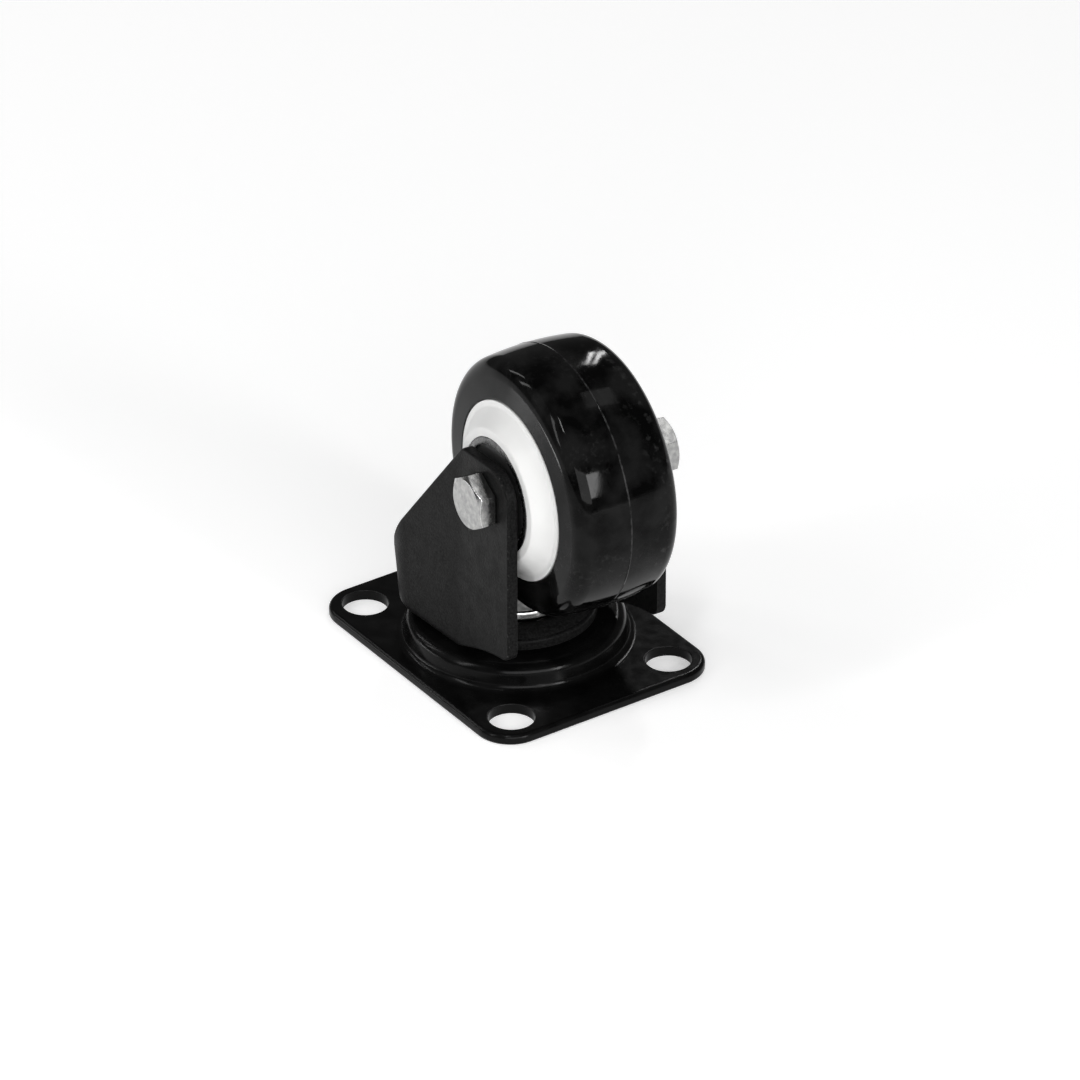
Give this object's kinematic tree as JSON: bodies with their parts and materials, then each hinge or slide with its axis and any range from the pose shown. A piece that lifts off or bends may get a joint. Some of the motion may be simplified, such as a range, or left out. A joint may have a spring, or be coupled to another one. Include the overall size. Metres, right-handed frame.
{
  "type": "swivel plate castor",
  "caption": "Small swivel castor with a rectangular mounting plate, a drawn steel fork and a smooth-treaded wheel on ball bearings, standing on its plate with the wheel up.",
  "frame": {"origin": "centre of the plate's mounting face, on the swivel axis", "axes": "+Z along the swivel axis from the mounting face towards the wheel, +X along the plate's long side towards the trailing wheel, +Y from the bolt head's side to the nut's side"},
  "size_m": [0.0727, 0.049, 0.0696],
  "materials": {
    "plate_paint": "gloss",
    "fork_paint": "satin",
    "seal_rubber": "matte",
    "zinc": "bright zinc plate",
    "bearing_steel": "ground",
    "cage_plastic": "matte",
    "core_plastic": "moulded",
    "tread_urethane": "gloss"
  },
  "bodies": {
    "plate": {"top_plate": "plate_paint", "kingpin": "zinc", "race_cup": "zinc"},
    "load_row": {"load_balls": "bearing_steel"},
    "upper_row": {"upper_balls": "bearing_steel"},
    "fork": {"fork": "fork_paint", "axle_bolt": "zinc", "axle_nut": "zinc", "axle_sleeve": "zinc", "spacer_near": "zinc", "spacer_far": "zinc", "bearing_inner_ring_near": "bearing_steel", "bearing_inner_ring_far": "bearing_steel"},
    "wheel": {"wheel_core": "core_plastic", "tread": "tread_urethane", "bearing_outer_ring_near": "bearing_steel", "bearing_outer_ring_far": "bearing_steel", "bearing_seal_near": "seal_rubber", "bearing_seal_far": "seal_rubber"},
    "bearing_row": {"bearing_balls_near": "bearing_steel", "bearing_balls_far": "bearing_steel", "bearing_cage_near": "cage_plastic", "bearing_cage_far": "cage_plastic"}
  },
  "joints": [
    {"name": "swivel", "type": "hinge", "parent": "plate", "child": "fork", "pos_m": [0, 0, 0], "axis": [0, 0, 1], "continuous": true},
    {"name": "load_row_roll", "type": "hinge", "parent": "plate", "child": "load_row", "pos_m": [0, 0, 0], "axis": [0, 0, 1], "continuous": true},
    {"name": "upper_row_roll", "type": "hinge", "parent": "plate", "child": "upper_row", "pos_m": [0, 0, 0], "axis": [0, 0, 1], "continuous": true},
    {"name": "wheel_spin", "type": "hinge", "parent": "fork", "child": "wheel", "pos_m": [0.01701, -0.00123, 0.0445], "axis": [0.0722, 0.9974, 0], "continuous": true},
    {"name": "bearing_row_roll", "type": "hinge", "parent": "fork", "child": "bearing_row", "pos_m": [0.01701, -0.00123, 0.0445], "axis": [0.0722, 0.9974, 0], "continuous": true}
  ],
  "couplings": [
    {"joint": "load_row_roll", "follows": "swivel", "ratio": 0.5},
    {"joint": "upper_row_roll", "follows": "swivel", "ratio": 0.5},
    {"joint": "bearing_row_roll", "follows": "wheel_spin", "ratio": 0.6323}
  ]
}
